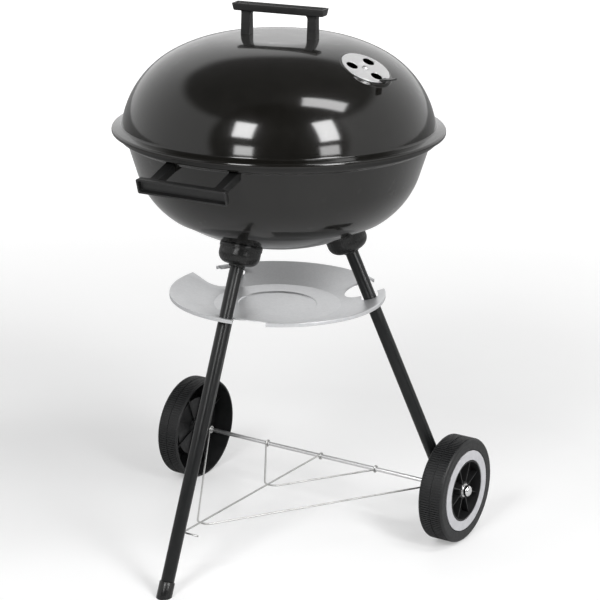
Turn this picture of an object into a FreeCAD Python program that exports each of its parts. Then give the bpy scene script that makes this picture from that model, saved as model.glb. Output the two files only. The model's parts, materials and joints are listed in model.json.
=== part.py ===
"""Kettle charcoal grill on a wheeled tripod.

Frame: millimetres, +Z up, origin on the floor straight under the kettle's axis.  The axle runs
along X, the front leg and the bowl's handle are towards -Y and the wheels towards +Y.
Right means +X.
"""
import FreeCAD, Part
import math
import os

import Sketcher

Vector = FreeCAD.Vector
Placement = FreeCAD.Placement
Rotation = FreeCAD.Rotation
X_AXIS, Y_AXIS, Z_AXIS = Vector(1, 0, 0), Vector(0, 1, 0), Vector(0, 0, 1)

# The driving dimensions: alias, value in millimetres or degrees, meaning.
DIMENSIONS = [
    ("gauge", 1.2, "sheet steel of the bowl and the lid"),
    ("lid_top", 714.25, "height of the lid's top"),
    ("lid_crown", 3144.0, "radius of the nearly flat crown"),
    ("lid_crown_turn", 1.0, "slope where the crown ends"),
    ("lid_shoulder", 198.0, "radius of the shoulder"),
    ("lid_shoulder_turn", 28.9, "slope where the shoulder ends"),
    ("lid_side", 129.5, "radius of the lid's side"),
    ("lid_side_turn", 81.5, "slope at the crease above the flange"),
    ("lid_radius", 226.0, "outside of the lid's skirt"),
    ("lid_skirt_low", 587.0, "lower edge of the skirt"),
    ("lid_flange", 592.5, "height of the flange at its outer bend"),
    ("flange_bend", 3.5, "bend between the flange and the skirt"),
    ("seat_radius", 36.5, "pressed flat seat under the lid's damper"),
    ("seat_slope", 28.0, "slope of the dome where the seat's middle is, on the shoulder"),
    ("seat_azimuth", -6.0, "direction of the seat, turned about the kettle's axis"),
    ("seat_tilt", 25.8, "slope of the seat"),
    ("seat_sink", 1.6, "how deep the seat is pressed below the dome at its middle"),
    ("damper_radius", 33.5, "radius of both dampers"),
    ("damper_gauge", 1.0, "sheet aluminium of the dampers"),
    ("vent_radius", 8.0, "holes in the dampers"),
    ("vent_circle", 20.0, "circle of the holes"),
    ("rivet_radius", 2.5, "shank of the damper rivets"),
    ("bowl_crown", 267.9, "radius of the bowl's underside"),
    ("bowl_crown_mid", 693.8, "height of that radius's centre"),
    ("bowl_step", 1.8, "inward step of the underside below the pressed ring"),
    ("bowl_step_turn", 32.9, "slope at the lower edge of the step"),
    ("bowl_knuckle", 112.8, "radius between the underside and the wall"),
    ("knuckle_out", 84.3, "centre of the knuckle, from the axis"),
    ("knuckle_up", 563.6, "height of the knuckle's centre"),
    ("knuckle_start", 35.0, "slope where the knuckle starts"),
    ("wall_turn", 72.7, "slope of the bowl's conical wall"),
    ("wall_top", 574.0, "height where the wall meets the rim band"),
    ("rim_radius", 216.0, "outside of the rim band"),
    ("rim_low", 578.5, "height where the rim band starts"),
    ("rim_roll", 2.2, "radius of the rolled edge"),
    ("rim_roll_up", 590.0, "height of the rolled edge's centre"),
    ("flat_radius", 39.0, "pressed flat seat at the bowl's bottom"),
    ("bar_length", 133.0, "handle bar"),
    ("bar_width", 21.0, "handle bar, across"),
    ("bar_height", 10.0, "handle bar, thickness"),
    ("bar_wall", 3.0, "wall round the recess in the bar"),
    ("post_gap", 96.0, "distance between the handle's posts"),
    ("bar_flare", 1.5, "how much the bar's ends lean out"),
    ("bar_dish", 7.0, "depth of the recess in the bar"),
    ("post_width", 13.2, "post, along the bar"),
    ("post_depth", 11.0, "post, across the bar"),
    ("foot_width", 14.0, "foot of a post, along the bar"),
    ("foot_depth", 11.8, "foot of a post, across the bar"),
    ("foot_height", 4.0, "foot of a post, outwards from the sheet"),
    ("lid_post", 31.0, "clear height under the lid handle's bar"),
    ("lid_handle_turn", 9.5, "direction of the lid handle, turned from X"),
    ("bowl_post", 40.0, "clear distance behind the bowl handle's bar"),
    ("bowl_handle_azimuth", -86.5, "direction of the bowl handle"),
    ("bowl_handle_up", 567.5, "height of the handle's axis at the wall"),
    ("screw_radius", 2.5, "handle screws"),
    ("leg_spread", 22.3, "lean of each leg from the vertical"),
    ("leg_root_out", 90.2, "leg axis at the bowl, from the kettle's axis"),
    ("leg_root_up", 443.5, "leg axis at the bowl, height"),
    ("leg_radius", 9.0, "leg tube"),
    ("leg_gauge", 1.2, "leg tube's wall"),
    ("leg_start", 9.0, "upper end of a leg tube, below the bowl"),
    ("leg_past_axle", 9.0, "rear leg beyond the axle"),
    ("socket_radius", 29.0, "leg socket at the bowl"),
    ("socket_bend", 14.0, "round lower edge of the socket"),
    ("socket_length", 26.0, "leg socket along the leg"),
    ("collar_radius", 11.5, "short collar round the tube below the socket"),
    ("cap_radius", 10.4, "front leg's end cap"),
    ("cap_length", 21.0, "front leg's end cap along the leg"),
    ("axle_up", 75.0, "height of the axle, which is the wheel's radius"),
    ("axle_radius", 3.0, "axle rod"),
    ("axle_reach", 245.5, "half the axle's length"),
    ("wheel_in", 206.0, "inner face of a wheel, from the middle"),
    ("wheel_width", 36.0, "width of a wheel"),
    ("wheel_radius", 75.0, "radius of a wheel"),
    ("bore_slack", 0.08, "running clearance of the turning parts"),
    ("tread_depth", 1.4, "grooves in the tyre"),
    ("tread_wall", 3.2, "wall of the tyre round the wheel's open back"),
    ("tray_radius", 149.5, "ash tray's rim"),
    ("tray_up", 358.0, "height of the tray's rim"),
    ("tray_floor", 88.0, "radius of the tray's flat floor"),
    ("tray_depth", 17.0, "depth of the tray"),
    ("tray_gauge", 1.0, "sheet of the tray"),
    ("slot_half", 11.4, "half width of the tray's slots round the legs"),
    ("slot_out", 127.7, "distance of the slots from the axis"),
    ("entry_turn", 18.0, "turn between a leg's slot and its entry notch"),
    ("entry_half", 23.0, "half width of the entry notch"),
    ("entry_in", 121.0, "centre of the entry notch's round end"),
    ("grate_up", 559.0, "height of the cooking grate's ring"),
    ("grate_ring", 190.0, "radius of the cooking grate's ring"),
    ("grate_wire", 2.5, "radius of the grates' ring wire"),
    ("grate_bar", 1.75, "radius of the cooking grate's bars"),
    ("coal_bar", 2.1, "radius of the charcoal grate's bars"),
    ("coal_up", 477.0, "height of the charcoal grate's ring"),
    ("coal_ring", 150.0, "radius of the charcoal grate's ring"),
    ("rack_wire", 1.25, "radius of the wires between the legs"),
    ("spine_rise", 2.55, "height of the middle wire over the other wires"),
]

doc = FreeCAD.newDocument("KettleGrill")
sheet = doc.addObject("Spreadsheet::Sheet", "Dims")
for row, (alias, number, meaning) in enumerate(DIMENSIONS, start=1):
    sheet.set(f"A{row}", meaning)
    sheet.set(f"B{row}", str(number))
    sheet.setAlias(f"B{row}", alias)
doc.recompute()

pieces = []


def value(rule):
    """The number that an expression over the sheet gives."""
    result = sheet.evalExpression(rule)
    return float(getattr(result, "Value", result))


def dim(alias):
    return value(f"Dims.{alias}")


def sub_part(item, label):
    """Names a finished sub-part and puts it on the list that is written out."""
    item.Label = label
    pieces.append(item)
    return item


def primitive(kind, name, place, **rules):
    """A Part primitive whose sizes follow expressions over the sheet."""
    item = doc.addObject(kind, name)
    for prop, rule in rules.items():
        item.setExpression(prop, rule)
    item.Placement = place
    return item


def cylinder(name, place, radius, height):
    return primitive("Part::Cylinder", name, place, Radius=radius, Height=height)


def box(name, place, length, width, height):
    return primitive("Part::Box", name, place, Length=length, Width=width, Height=height)


def ball(name, place, radius):
    return primitive("Part::Sphere", name, place, Radius=radius)


def fuse(name, items):
    item = doc.addObject("Part::MultiFuse", name)
    item.Shapes = items
    return item


def cut(name, base, tools):
    item = doc.addObject("Part::Cut", name)
    item.Base = base
    item.Tool = tools[0] if len(tools) == 1 else group(f"{name}_tools", tools)
    return item


def group(name, items):
    item = doc.addObject("Part::Compound", name)
    item.Links = items
    return item


def at(x=0.0, y=0.0, z=0.0, axis=Z_AXIS, turn=0.0):
    return Placement(Vector(x, y, z), Rotation(axis, turn))


def tube(name, place, outer, inner, height):
    """A straight tube with its bore right through."""
    body = cylinder(f"{name}_outside", place, outer, height)
    bore_place = place.multiply(at(z=-1))
    bore = cylinder(f"{name}_bore", bore_place, inner, f"{height} + 2")
    return cut(name, body, [bore])


def arc_between(start, end, radius, sense, large):
    """The sketch arc of this radius from start to end; sense is 1 for anticlockwise."""
    chord = end - start
    rise = math.sqrt(max(radius ** 2 - (chord.Length / 2) ** 2, 0))
    side = Vector(-chord.y, chord.x, 0).normalize() * rise
    centre = (start + end) * 0.5 + side * (sense if not large else -sense)
    first, last = (start, end) if sense > 0 else (end, start)
    angles = [math.atan2(point.y - centre.y, point.x - centre.x) for point in (first, last)]
    return Part.ArcOfCircle(Part.Circle(centre, Z_AXIS, radius), *angles)


def outline(sketch, corners):
    """Draws a closed outline and ties every corner and radius to the sheet.

    A corner is (across, up) or, where a round stretch starts, (across, up, radius, sense) with
    an optional fifth entry that picks the longer way round.
    """
    points = [Vector(value(corner[0]), value(corner[1]), 0) for corner in corners]
    count = len(corners)
    ends = []
    for index, corner in enumerate(corners):
        start, end = points[index], points[(index + 1) % count]
        if len(corner) == 2:
            sketch.addGeometry(Part.LineSegment(start, end))
            ends.append((1, 2))
            continue
        radius, sense = value(corner[2]), corner[3]
        sketch.addGeometry(arc_between(start, end, radius, sense, len(corner) > 4))
        ends.append((1, 2) if sense > 0 else (2, 1))
        tie(sketch, Sketcher.Constraint("Radius", index, radius), corner[2])
    for index, corner in enumerate(corners):
        following = (index + 1) % count
        sketch.addConstraint(
            Sketcher.Constraint("Coincident", index, ends[index][1], following, ends[following][0]))
        for kind, number, rule in (("DistanceX", points[index].x, corner[0]),
                                   ("DistanceY", points[index].y, corner[1])):
            tie(sketch, Sketcher.Constraint(kind, -1, 1, index, ends[index][0], number), rule)


def tie(sketch, constraint, rule):
    index = sketch.addConstraint(constraint)
    if "Dims" in rule:
        sketch.setExpression(f"Constraints[{index}]", rule)


def plane_of(body, role):
    return next(item for item in body.Origin.OriginFeatures if item.Role == role)


def new_sketch(body, name, role):
    sketch = body.newObject("Sketcher::SketchObject", name)
    sketch.AttachmentSupport = [(plane_of(body, role), "")]
    sketch.MapMode = "FlatFace"
    return sketch


def turned(name, corners, place=None):
    """A PartDesign body turned about its own Z axis from an outline in its XZ plane."""
    body = doc.addObject("PartDesign::Body", name)
    sketch = new_sketch(body, f"{name}_outline", "XZ_Plane")
    outline(sketch, corners)
    revolution = body.newObject("PartDesign::Revolution", f"{name}_revolution")
    revolution.Profile = sketch
    revolution.ReferenceAxis = (sketch, ["V_Axis"])
    revolution.Angle = 360
    sketch.Visibility = False
    body.Placement = place or at()
    return body


def sweep_round(name, points, radius):
    """A round wire along straight runs joined by tangent arcs: points are (place, bend radius)."""
    edges = []
    last = points[0][0]
    for (before, _), (corner, bend), (after, _) in zip(points, points[1:], points[2:]):
        incoming, outgoing = (corner - before).normalize(), (after - corner).normalize()
        half_turn = incoming.getAngle(outgoing) / 2
        reach = bend * math.tan(half_turn)
        start, end = corner - incoming * reach, corner + outgoing * reach
        inward = (outgoing - incoming).normalize()
        middle = corner + inward * (bend / math.cos(half_turn) - bend)
        edges.append(Part.LineSegment(last, start).toShape())
        edges.append(Part.Arc(start, middle, end).toShape())
        last = end
    edges.append(Part.LineSegment(last, points[-1][0]).toShape())
    path = Part.Wire(edges)
    heading = points[1][0] - points[0][0]
    section = Part.Wire(Part.Circle(points[0][0], heading, radius).toShape())
    solid = path.makePipeShell([section], True, True)
    item = doc.addObject("Part::Feature", name)
    item.Shape = solid
    return item


# ---------------------------------------------------------------- the lid

def dome_corners(inset):
    """Crown, shoulder and side of the lid from its top to the crease, moved in by inset."""
    rules = []
    across, up = "0", f"(Dims.lid_top - {inset})"
    last_turn = "0"
    for radius, turn in (("lid_crown", "lid_crown_turn"), ("lid_shoulder", "lid_shoulder_turn"),
                         ("lid_side", "lid_side_turn")):
        size = f"(Dims.{radius} - {inset})"
        angle = f"Dims.{turn} * 1 deg"
        rules.append((across, up, size, -1))
        across = f"{across} + {size} * (sin({angle}) - sin({last_turn}))"
        up = f"{up} - {size} * (cos({last_turn}) - cos({angle}))"
        last_turn = angle
    return rules, (across, up)


def reversed_arcs(rules, end):
    """The same chain of arcs, drawn from its end back to its start."""
    starts = [(rule[0], rule[1]) for rule in rules] + [end]
    back = []
    for index in range(len(rules) - 1, -1, -1):
        back.append((*starts[index + 1], rules[index][2], -rules[index][3]))
    back.append(starts[0])
    return back


def make_lid():
    outer, crease = dome_corners("0")
    inner, inner_crease = dome_corners("Dims.gauge")
    skirt = "Dims.lid_radius"
    bend = "Dims.flange_bend"
    rim = [
        crease,
        (f"{skirt} - {bend}", "Dims.lid_flange", bend, -1),
        (skirt, f"Dims.lid_flange - {bend}"),
        (skirt, "Dims.lid_skirt_low"),
        (f"{skirt} - Dims.gauge", "Dims.lid_skirt_low"),
        (f"{skirt} - Dims.gauge", f"Dims.lid_flange - {bend}", f"{bend} - Dims.gauge", 1),
        (f"{skirt} - {bend}", "Dims.lid_flange - Dims.gauge"),
    ]
    dome = turned("lid_dome", outer + rim + reversed_arcs(inner, inner_crease))
    hollow_corners, hollow_end = dome_corners("Dims.gauge")
    hollow = turned("lid_hollow", hollow_corners + [hollow_end, ("0", hollow_end[1])])

    seat_mid = seat_place(-dim("seat_sink"))
    opening = cylinder("seat_opening", seat_mid.multiply(at(z=-20)),
                       "Dims.seat_radius - Dims.gauge / 2", "40")
    wall = tube("seat_wall", seat_mid.multiply(at(z=-10)), "Dims.seat_radius",
                "Dims.seat_radius - Dims.gauge", "10")
    wall_outside = cut("seat_wall_trimmed", wall, [hollow])
    floor = cylinder("seat_floor", seat_mid.multiply(at(z=-dim("gauge"))),
                     "Dims.seat_radius", "Dims.gauge")
    pressed = fuse("lid_pressed", [cut("lid_opened", dome, [opening]), wall_outside, floor])
    holes = [cylinder(f"lid_vent_{index}", vent_place(seat_mid, index).multiply(at(z=-8)),
                      "Dims.vent_radius", "16") for index in range(3)]
    holes.append(cylinder("lid_rivet_hole", seat_mid.multiply(at(z=-8)),
                          "Dims.rivet_radius + Dims.bore_slack", "16"))
    for side in (-1, 1):
        place = lid_handle_place().multiply(at(x=side * dim("post_gap") / 2, z=-40))
        holes.append(cylinder(f"lid_screw_hole_{side + 2}", place, "Dims.screw_radius + 0.3", "60"))
    sub_part(cut("lid_shell", pressed, holes), "lid_shell")


def seat_place(rise):
    """The frame of the lid's damper seat: Z is the seat's normal and X points downhill."""
    azimuth = math.radians(dim("seat_azimuth"))
    slope, crown = math.radians(dim("seat_slope")), math.radians(dim("lid_crown_turn"))
    across = dim("lid_crown") * math.sin(crown)
    across += dim("lid_shoulder") * (math.sin(slope) - math.sin(crown))
    up = dim("lid_top") - dim("lid_crown") * (1 - math.cos(crown))
    up -= dim("lid_shoulder") * (math.cos(crown) - math.cos(slope))
    middle = Vector(across * math.cos(azimuth), across * math.sin(azimuth), up)
    turn = Rotation(Z_AXIS, dim("seat_azimuth")).multiply(Rotation(Y_AXIS, dim("seat_tilt")))
    return Placement(middle, turn).multiply(at(z=rise))


def vent_place(middle, index):
    """The frame of one of the three vent holes about a damper's middle."""
    first_hole = -1
    return middle.multiply(at(turn=first_hole + 120 * index)).multiply(at(x=dim("vent_circle")))


def make_damper(name, middle):
    """A flat disc with three holes that turns on its rivet; middle is its lower face."""
    disc = cylinder(f"{name}_disc", middle, "Dims.damper_radius", "Dims.damper_gauge")
    holes = [cylinder(f"{name}_hole_{index}", vent_place(middle, index).multiply(at(z=-2)),
                      "Dims.vent_radius", "6") for index in range(3)]
    holes.append(cylinder(f"{name}_bore", middle.multiply(at(z=-2)),
                          "Dims.rivet_radius + Dims.bore_slack", "6"))
    sub_part(cut(name, disc, holes), name)


def make_rivet(name, middle, grip):
    """A rivet along the damper's normal: head over the disc, shank through grip, and tail."""
    head = 4.6
    corners = [
        ("0", "-3.2"), (f"{head - 1.2}", "-3.2"), (f"{head}", "-2.4"), (f"{head}", "-1.8"),
        ("Dims.rivet_radius", "-1.8"), ("Dims.rivet_radius", f"{grip}"),
        (f"{head}", f"{grip}"), (f"{head}", f"{grip} + 0.7"),
        (f"{head - 1.6}", f"{grip} + 1.7"), ("0", f"{grip} + 2"),
    ]
    sub_part(turned(name, corners, middle), name)


def make_lid_damper():
    gap = 0.1
    middle = seat_place(gap - dim("seat_sink"))
    make_damper("lid_damper", middle)
    make_rivet("lid_damper_rivet", seat_place(-dim("seat_sink")), "Dims.damper_gauge + 0.2")
    width, foot_length, foot_height, blade, thickness, rise = 12.5, 5.0, 2.4, 17.0, 2.4, 34.0
    foot = box("lid_tab_foot", middle.multiply(at(dim("damper_radius") - 4, -width / 2,
                                                  dim("damper_gauge") + 0.02)),
               f"{foot_length}", f"{width}", f"{foot_height}")
    lift = middle.multiply(at(dim("damper_radius") - 1.5, -width / 2, dim("damper_gauge") + 0.4))
    tongue = box("lid_tab_tongue", lift.multiply(at(axis=Y_AXIS, turn=-rise)),
                 f"{blade}", f"{width}", f"{thickness}")
    sub_part(fuse("lid_damper_tab", [foot, tongue]), "lid_damper_tab")


def handle_blank(name, place, post):
    """A moulded handle: a bar with a recessed top on two posts that reach 12 below the frame."""
    half, dig = dim("bar_length") / 2, 12.0
    top = primitive("Part::Wedge", f"{name}_bar", place.multiply(at(z=post, axis=X_AXIS, turn=90)),
                    Xmin="Dims.bar_flare - Dims.bar_length / 2",
                    Xmax="Dims.bar_length / 2 - Dims.bar_flare",
                    Ymin="0", Ymax="Dims.bar_height",
                    Zmin="0.8 * Dims.bar_flare - Dims.bar_width / 2",
                    Zmax="Dims.bar_width / 2 - 0.8 * Dims.bar_flare",
                    X2min="-Dims.bar_length / 2", X2max="Dims.bar_length / 2",
                    Z2min="-Dims.bar_width / 2", Z2max="Dims.bar_width / 2")
    wall = dim("bar_wall")
    recess = box(f"{name}_recess",
                 place.multiply(at(wall - half, wall - dim("bar_width") / 2,
                                   post + dim("bar_height") - dim("bar_dish"))),
                 "Dims.bar_length - 2 * Dims.bar_wall", "Dims.bar_width - 2 * Dims.bar_wall",
                 "Dims.bar_dish + 5")
    parts = [cut(f"{name}_dished_bar", top, [recess])]
    for side in (-1, 1):
        corner = at(side * dim("post_gap") / 2 - dim("post_width") / 2, -dim("post_depth") / 2, -dig)
        parts.append(box(f"{name}_post_{side + 2}", place.multiply(corner),
                         "Dims.post_width", "Dims.post_depth", f"{post + dig + 1}"))
        corner = at(side * dim("post_gap") / 2 - dim("foot_width") / 2, -dim("foot_depth") / 2, -dig)
        parts.append(box(f"{name}_foot_{side + 2}", place.multiply(corner),
                         "Dims.foot_width", "Dims.foot_depth", f"Dims.foot_height + {dig}"))
    return fuse(f"{name}_blank", parts)


def screw_holes(name, place, depth):
    holes = []
    for side in (-1, 1):
        corner = at(x=side * dim("post_gap") / 2, z=-15)
        holes.append(cylinder(f"{name}_hole_{side + 2}", place.multiply(corner),
                              "Dims.screw_radius + 0.05", f"{15 + depth}"))
    return holes


def make_screws(name, place, depth, sink):
    """Two pan head screws from inside a shell; sink is where their heads lie on each post's axis."""
    screws = []
    for side in (-1, 1):
        head = 4.8
        corners = [
            ("0", "-3"), (f"{head - 1.4}", "-3"), (f"{head}", "-1.8"), (f"{head}", "0"),
            ("Dims.screw_radius", "0"), ("Dims.screw_radius", f"{depth + sink - 1}"),
            ("0", f"{depth + sink}"),
        ]
        screws.append(turned(f"{name}_{side + 2}", corners,
                             place.multiply(at(x=side * dim("post_gap") / 2, z=-sink))))
    sub_part(group(name, screws), name)


def lid_handle_place():
    return at(z=dim("lid_top"), turn=dim("lid_handle_turn"))


def make_lid_handle():
    place = lid_handle_place()
    blank = handle_blank("lid_handle", place, dim("lid_post"))
    dome = ball("lid_handle_seat", at(z=dim("lid_top") - dim("lid_crown")), "Dims.lid_crown + 0.05")
    depth = 18.0
    holes = screw_holes("lid_handle", place, depth)
    sub_part(cut("lid_handle", blank, [dome] + holes), "lid_handle")
    make_screws("lid_handle_screws", place, depth, 3.2)


# ---------------------------------------------------------------- the bowl

def bowl_wall_slope():
    return "tan(90 deg - Dims.wall_turn * 1 deg)"


def bowl_corners(inset):
    """Outside of the bowl from its flat seat up to the rim, moved in by inset."""
    crown = f"(Dims.bowl_crown - Dims.bowl_step - {inset})"
    knuckle = f"(Dims.bowl_knuckle - {inset})"
    step, start, wall = (f"Dims.{name} * 1 deg" for name in
                         ("bowl_step_turn", "knuckle_start", "wall_turn"))
    lean = bowl_wall_slope()
    flat = f"Dims.bowl_crown_mid - sqrt({crown} ^ 2 - Dims.flat_radius ^ 2)"
    wall_out = f"Dims.knuckle_out + {knuckle} * sin({wall})"
    wall_up = f"Dims.knuckle_up - {knuckle} * cos({wall})"
    return [
        ("0", flat),
        ("Dims.flat_radius", flat, crown, 1),
        (f"{crown} * sin({step})", f"Dims.bowl_crown_mid - {crown} * cos({step})"),
        (f"Dims.knuckle_out + {knuckle} * sin({start})",
         f"Dims.knuckle_up - {knuckle} * cos({start})", knuckle, 1),
        (wall_out, wall_up),
        (f"{wall_out} + (Dims.wall_top - ({wall_up})) * {lean}", "Dims.wall_top"),
    ]


def wall_radius(up):
    """Outside radius of the bowl's conical wall at this height."""
    turn = math.radians(dim("wall_turn"))
    out = dim("knuckle_out") + dim("bowl_knuckle") * math.sin(turn)
    start = dim("knuckle_up") - dim("bowl_knuckle") * math.cos(turn)
    return out + (up - start) * math.tan(math.pi / 2 - turn)


def make_bowl():
    roll = "Dims.rim_roll"
    roll_mid = f"(Dims.rim_radius - Dims.gauge + {roll})"
    drop = f"sqrt({roll} ^ 2 - ({roll} - Dims.gauge) ^ 2)"
    outer = bowl_corners("0")
    inner = bowl_corners("Dims.gauge")
    rim = [
        ("Dims.rim_radius", "Dims.rim_low"),
        ("Dims.rim_radius", f"Dims.rim_roll_up - {drop}", roll, 1, "long"),
        (f"{roll_mid} - {roll}", "Dims.rim_roll_up"),
        ("Dims.rim_radius - Dims.gauge", "Dims.rim_low + 0.5"),
    ]
    inner_arcs = {1: inner[1][2:], 3: inner[3][2:]}
    back = [(inner[5][0], inner[5][1]), (inner[4][0], inner[4][1], inner_arcs[3][0], -1),
            (inner[3][0], inner[3][1]), (inner[2][0], inner[2][1], inner_arcs[1][0], -1),
            (inner[1][0], inner[1][1]), (inner[0][0], inner[0][1])]
    shell = turned("bowl_sheet", outer + rim + back)
    middle = bottom_place(0)
    holes = [cylinder(f"bowl_vent_{index}", vent_place(middle, index).multiply(at(z=-8)),
                      "Dims.vent_radius", "16") for index in range(3)]
    holes.append(cylinder("bowl_rivet_hole", middle.multiply(at(z=-8)),
                          "Dims.rivet_radius + Dims.bore_slack", "16"))
    for side in (-1, 1):
        corner = at(x=side * dim("post_gap") / 2, z=-30)
        holes.append(cylinder(f"bowl_screw_hole_{side + 2}", bowl_handle_place().multiply(corner),
                              "Dims.screw_radius + 0.3", "40"))
    for azimuth in LEG_AZIMUTHS.values():
        place = leg_place(azimuth).multiply(at(z=-20))
        holes.append(cylinder(f"bowl_bolt_hole_{azimuth}".replace("-", "m"), place, "3.2", "40"))
    sub_part(cut("bowl_shell", shell, holes), "bowl_shell")


def bottom_place(drop):
    """The frame of the bowl's lower damper: Z points down, away from the seat."""
    crown = dim("bowl_crown") - dim("bowl_step")
    up = dim("bowl_crown_mid") - math.sqrt(crown ** 2 - dim("flat_radius") ** 2)
    return at(z=up - drop, axis=X_AXIS, turn=180)


def make_bowl_damper():
    make_damper("bowl_damper", bottom_place(0.1))
    make_rivet("bowl_damper_rivet", bottom_place(0), "Dims.damper_gauge + 0.2")
    width, length = 10.0, 24.0
    place = bottom_place(0.1).multiply(at(turn=150))
    foot = box("bowl_tab_foot", place.multiply(at(dim("damper_radius") - 7, -width / 2,
                                                 dim("damper_gauge") + 0.02)),
               f"{length}", f"{width}", "1.5")
    finger = box("bowl_tab_finger", place.multiply(at(dim("damper_radius") + length - 8.5, -width / 2,
                                                     dim("damper_gauge") + 0.02)),
                 "1.5", f"{width}", "16")
    sub_part(fuse("bowl_damper_tab", [foot, finger]), "bowl_damper_tab")


def bowl_handle_place():
    """The frame of the bowl's handle: Z points out of the wall and X along the bar."""
    azimuth = dim("bowl_handle_azimuth")
    up = dim("bowl_handle_up")
    angle = math.radians(azimuth)
    middle = Vector(math.cos(angle), math.sin(angle), 0) * wall_radius(up) + Z_AXIS * up
    outward = Rotation(Z_AXIS, azimuth).multiply(Rotation(Y_AXIS, 180 - dim("wall_turn")))
    return Placement(middle, outward.multiply(Rotation(Z_AXIS, 90)))


def make_bowl_handle():
    place = bowl_handle_place()
    blank = handle_blank("bowl_handle", place, dim("bowl_post"))
    low, high = 520.0, 600.0
    cone = primitive("Part::Cone", "bowl_handle_seat", at(z=low),
                     Radius1=f"{wall_radius(low) + 0.05}", Radius2=f"{wall_radius(high) + 0.05}",
                     Height=f"{high - low}")
    under = 0.15
    band = primitive("Part::Cone", "bowl_handle_band", at(z=dim("wall_top") - under),
                     Radius1=f"{wall_radius(dim('wall_top')) + 0.05}",
                     Radius2="Dims.rim_radius + 0.05", Height="Dims.rim_low - Dims.wall_top")
    depth = 18.0
    holes = screw_holes("bowl_handle", place, depth)
    sub_part(cut("bowl_handle", blank, [cone, band] + holes), "bowl_handle")
    half = dim("post_gap") / 2
    bulge = dim("rim_radius") - math.sqrt(dim("rim_radius") ** 2 - half ** 2)
    make_screws("bowl_handle_screws", place, depth, bulge + 3.4)


def make_brackets():
    """Three bent strips inside the wall; their ledges carry the cooking grate."""
    ledge = dim("grate_up") - dim("grate_wire") - 0.2
    width, strip, reach, rise = 18.0, 1.5, 17.0, 14.0
    brackets = []
    for azimuth in (30, 150, 270):
        out = wall_radius(ledge) - dim("gauge") / math.sin(math.radians(dim("wall_turn"))) - 0.2
        flat = box(f"bracket_ledge_{azimuth}", at(turn=azimuth).multiply(
            at(out - reach, -width / 2, ledge - strip)), f"{reach - 0.6}", f"{width}", f"{strip}")
        lean = 90 - dim("wall_turn")
        leaf = box(f"bracket_leaf_{azimuth}", at(turn=azimuth).multiply(
            at(out - strip - 1.1, -width / 2, ledge - strip, Y_AXIS, lean)),
            f"{strip}", f"{width}", f"{rise}")
        brackets.append(fuse(f"bracket_{azimuth}", [flat, leaf]))
    sub_part(group("grate_brackets", brackets), "grate_brackets")


def make_grate(name, up, ring, wire, bar, pitch, cross):
    """A round wire grate: a ring, parallel bars along X and two cross bars along Y."""
    rim = primitive("Part::Torus", f"{name}_ring", at(z=up), Radius1=ring, Radius2=wire)
    parts = [rim]
    reach = value(ring)
    count = int((reach - pitch / 2) / pitch)
    for step in range(-count, count + 1):
        half = math.sqrt(reach ** 2 - (step * pitch) ** 2)
        place = at(-half, step * pitch, up, Y_AXIS, 90)
        parts.append(cylinder(f"{name}_bar_{step + count}", place, bar, f"{2 * half}"))
    for side in (-1, 1):
        half = math.sqrt((reach - value(wire)) ** 2 - cross ** 2)
        place = at(side * cross, -half, up - 0.6 * value(bar), X_AXIS, -90)
        parts.append(cylinder(f"{name}_cross_{side + 2}", place, bar, f"{2 * half}"))
    sub_part(fuse(name, parts), name)


# ---------------------------------------------------------------- the legs

LEG_AZIMUTHS = {"front": -90, "right": 30, "left": 150}


def leg_place(azimuth):
    """The frame of a leg: its origin is on the bowl and Z runs down along the tube."""
    angle = math.radians(azimuth)
    out = dim("leg_root_out")
    root = Vector(out * math.cos(angle), out * math.sin(angle), dim("leg_root_up"))
    turn = Rotation(Z_AXIS, azimuth).multiply(Rotation(Y_AXIS, 180 - dim("leg_spread")))
    return Placement(root, turn)


def along_leg(up):
    """Distance down the leg to this height."""
    return (dim("leg_root_up") - up) / math.cos(math.radians(dim("leg_spread")))


def leg_out(up):
    """Distance of the leg's axis from the kettle's axis at this height."""
    return dim("leg_root_out") + (dim("leg_root_up") - up) * math.tan(math.radians(dim("leg_spread")))


def axle_y():
    return leg_out(dim("axle_up")) * math.sin(math.radians(LEG_AZIMUTHS["right"]))


def make_leg(side, azimuth):
    front = side == "front"
    end = along_leg(3.0) if front else along_leg(dim("axle_up")) + dim("leg_past_axle")
    place = leg_place(azimuth)
    pipe = tube(f"{side}_leg_tube", place.multiply(at(z=dim("leg_start"))), "Dims.leg_radius",
                "Dims.leg_radius - Dims.leg_gauge", f"{end} - Dims.leg_start")
    if front:
        up = dim("axle_up") + dim("spine_rise")
        hole = cylinder("front_leg_hole", at(0, -leg_out(up) - 5, up, X_AXIS, -90),
                        "Dims.rack_wire + 0.2", "30")
        floor = box("front_leg_floor", at(-60, -400, -50), "120", "200", "53.4")
        tools = [hole, floor]
    else:
        tools = [cylinder(f"{side}_leg_hole", at(-300, axle_y(), dim("axle_up"), Y_AXIS, 90),
                          "Dims.axle_radius + 0.1", "600")]
    sub_part(cut(f"{side}_leg", pipe, tools), f"{side}_leg")


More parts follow.
